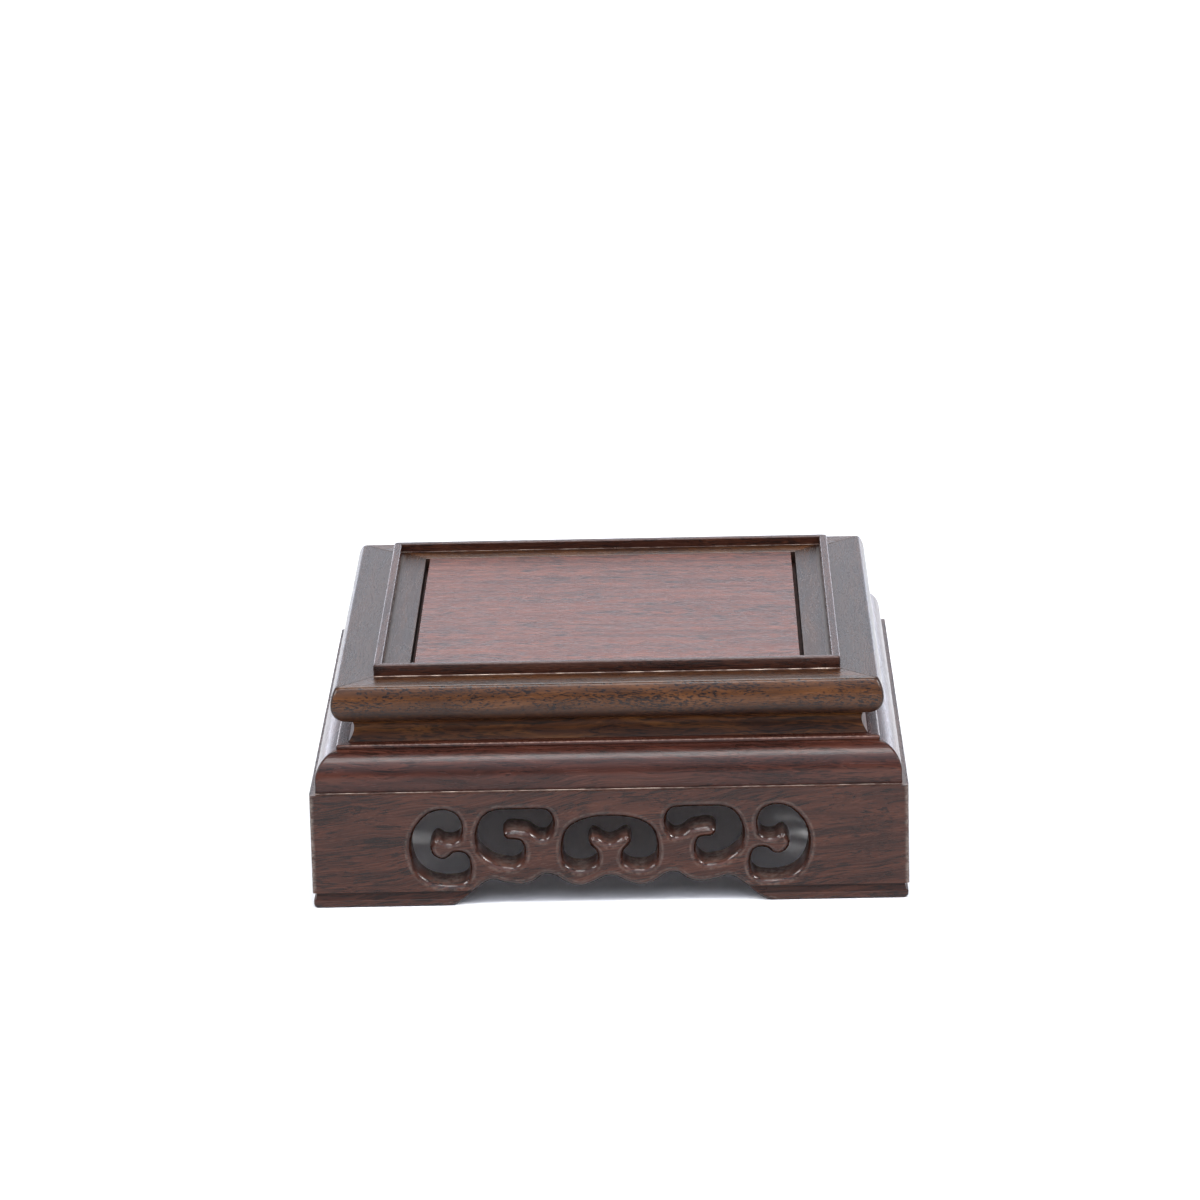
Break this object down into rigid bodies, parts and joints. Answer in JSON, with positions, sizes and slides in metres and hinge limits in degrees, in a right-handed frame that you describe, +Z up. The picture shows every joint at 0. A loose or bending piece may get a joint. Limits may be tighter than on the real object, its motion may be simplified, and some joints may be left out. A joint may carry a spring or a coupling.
{
  "type": "bonsai stand",
  "caption": "Square hardwood stand with a framed panel top, raised lip, sunk waist, rounded moulding and pierced scroll aprons whose ends are the feet.",
  "frame": {"origin": "on the ground under the middle of the stand", "axes": "+Z up, +X to the right of the front, which faces -Y"},
  "size_m": [0.15, 0.15, 0.0588],
  "materials": {
    "apron_wood": "dark rosewood, satin lacquer",
    "moulding_wood": "reddish brown rosewood, gloss lacquer",
    "waist_wood": "golden dark brown rosewood, satin lacquer",
    "rail_wood": "brown rosewood with dark veins, gloss lacquer",
    "lip_wood": "dark rosewood, gloss lacquer, worn on its arrises",
    "panel_wood": "reddish rosewood with dark pores, gloss lacquer",
    "hidden_wood": "bare planed hardwood",
    "bamboo": "bare split bamboo"
  },
  "bodies": {
    "root": {"apron_back": "apron_wood", "apron_front": "apron_wood", "apron_left": "apron_wood", "apron_right": "apron_wood", "corner_block_back_left": "hidden_wood", "corner_block_back_right": "hidden_wood", "corner_block_front_left": "hidden_wood", "corner_block_front_right": "hidden_wood", "lip_back": "lip_wood", "lip_front": "lip_wood", "lip_left": "lip_wood", "lip_right": "lip_wood", "moulding_back": "moulding_wood", "moulding_front": "moulding_wood", "moulding_left": "moulding_wood", "moulding_right": "moulding_wood", "panel": "panel_wood", "panel_batten": "hidden_wood", "peg_back_a": "bamboo", "peg_back_b": "bamboo", "peg_front_a": "bamboo", "peg_front_b": "bamboo", "peg_left_a": "bamboo", "peg_left_b": "bamboo", "peg_right_a": "bamboo", "peg_right_b": "bamboo", "top_rail_back": "rail_wood", "top_rail_front": "rail_wood", "top_rail_left": "rail_wood", "top_rail_right": "rail_wood", "waist_back": "waist_wood", "waist_front": "waist_wood", "waist_left": "waist_wood", "waist_right": "waist_wood"}
  },
  "joints": []
}
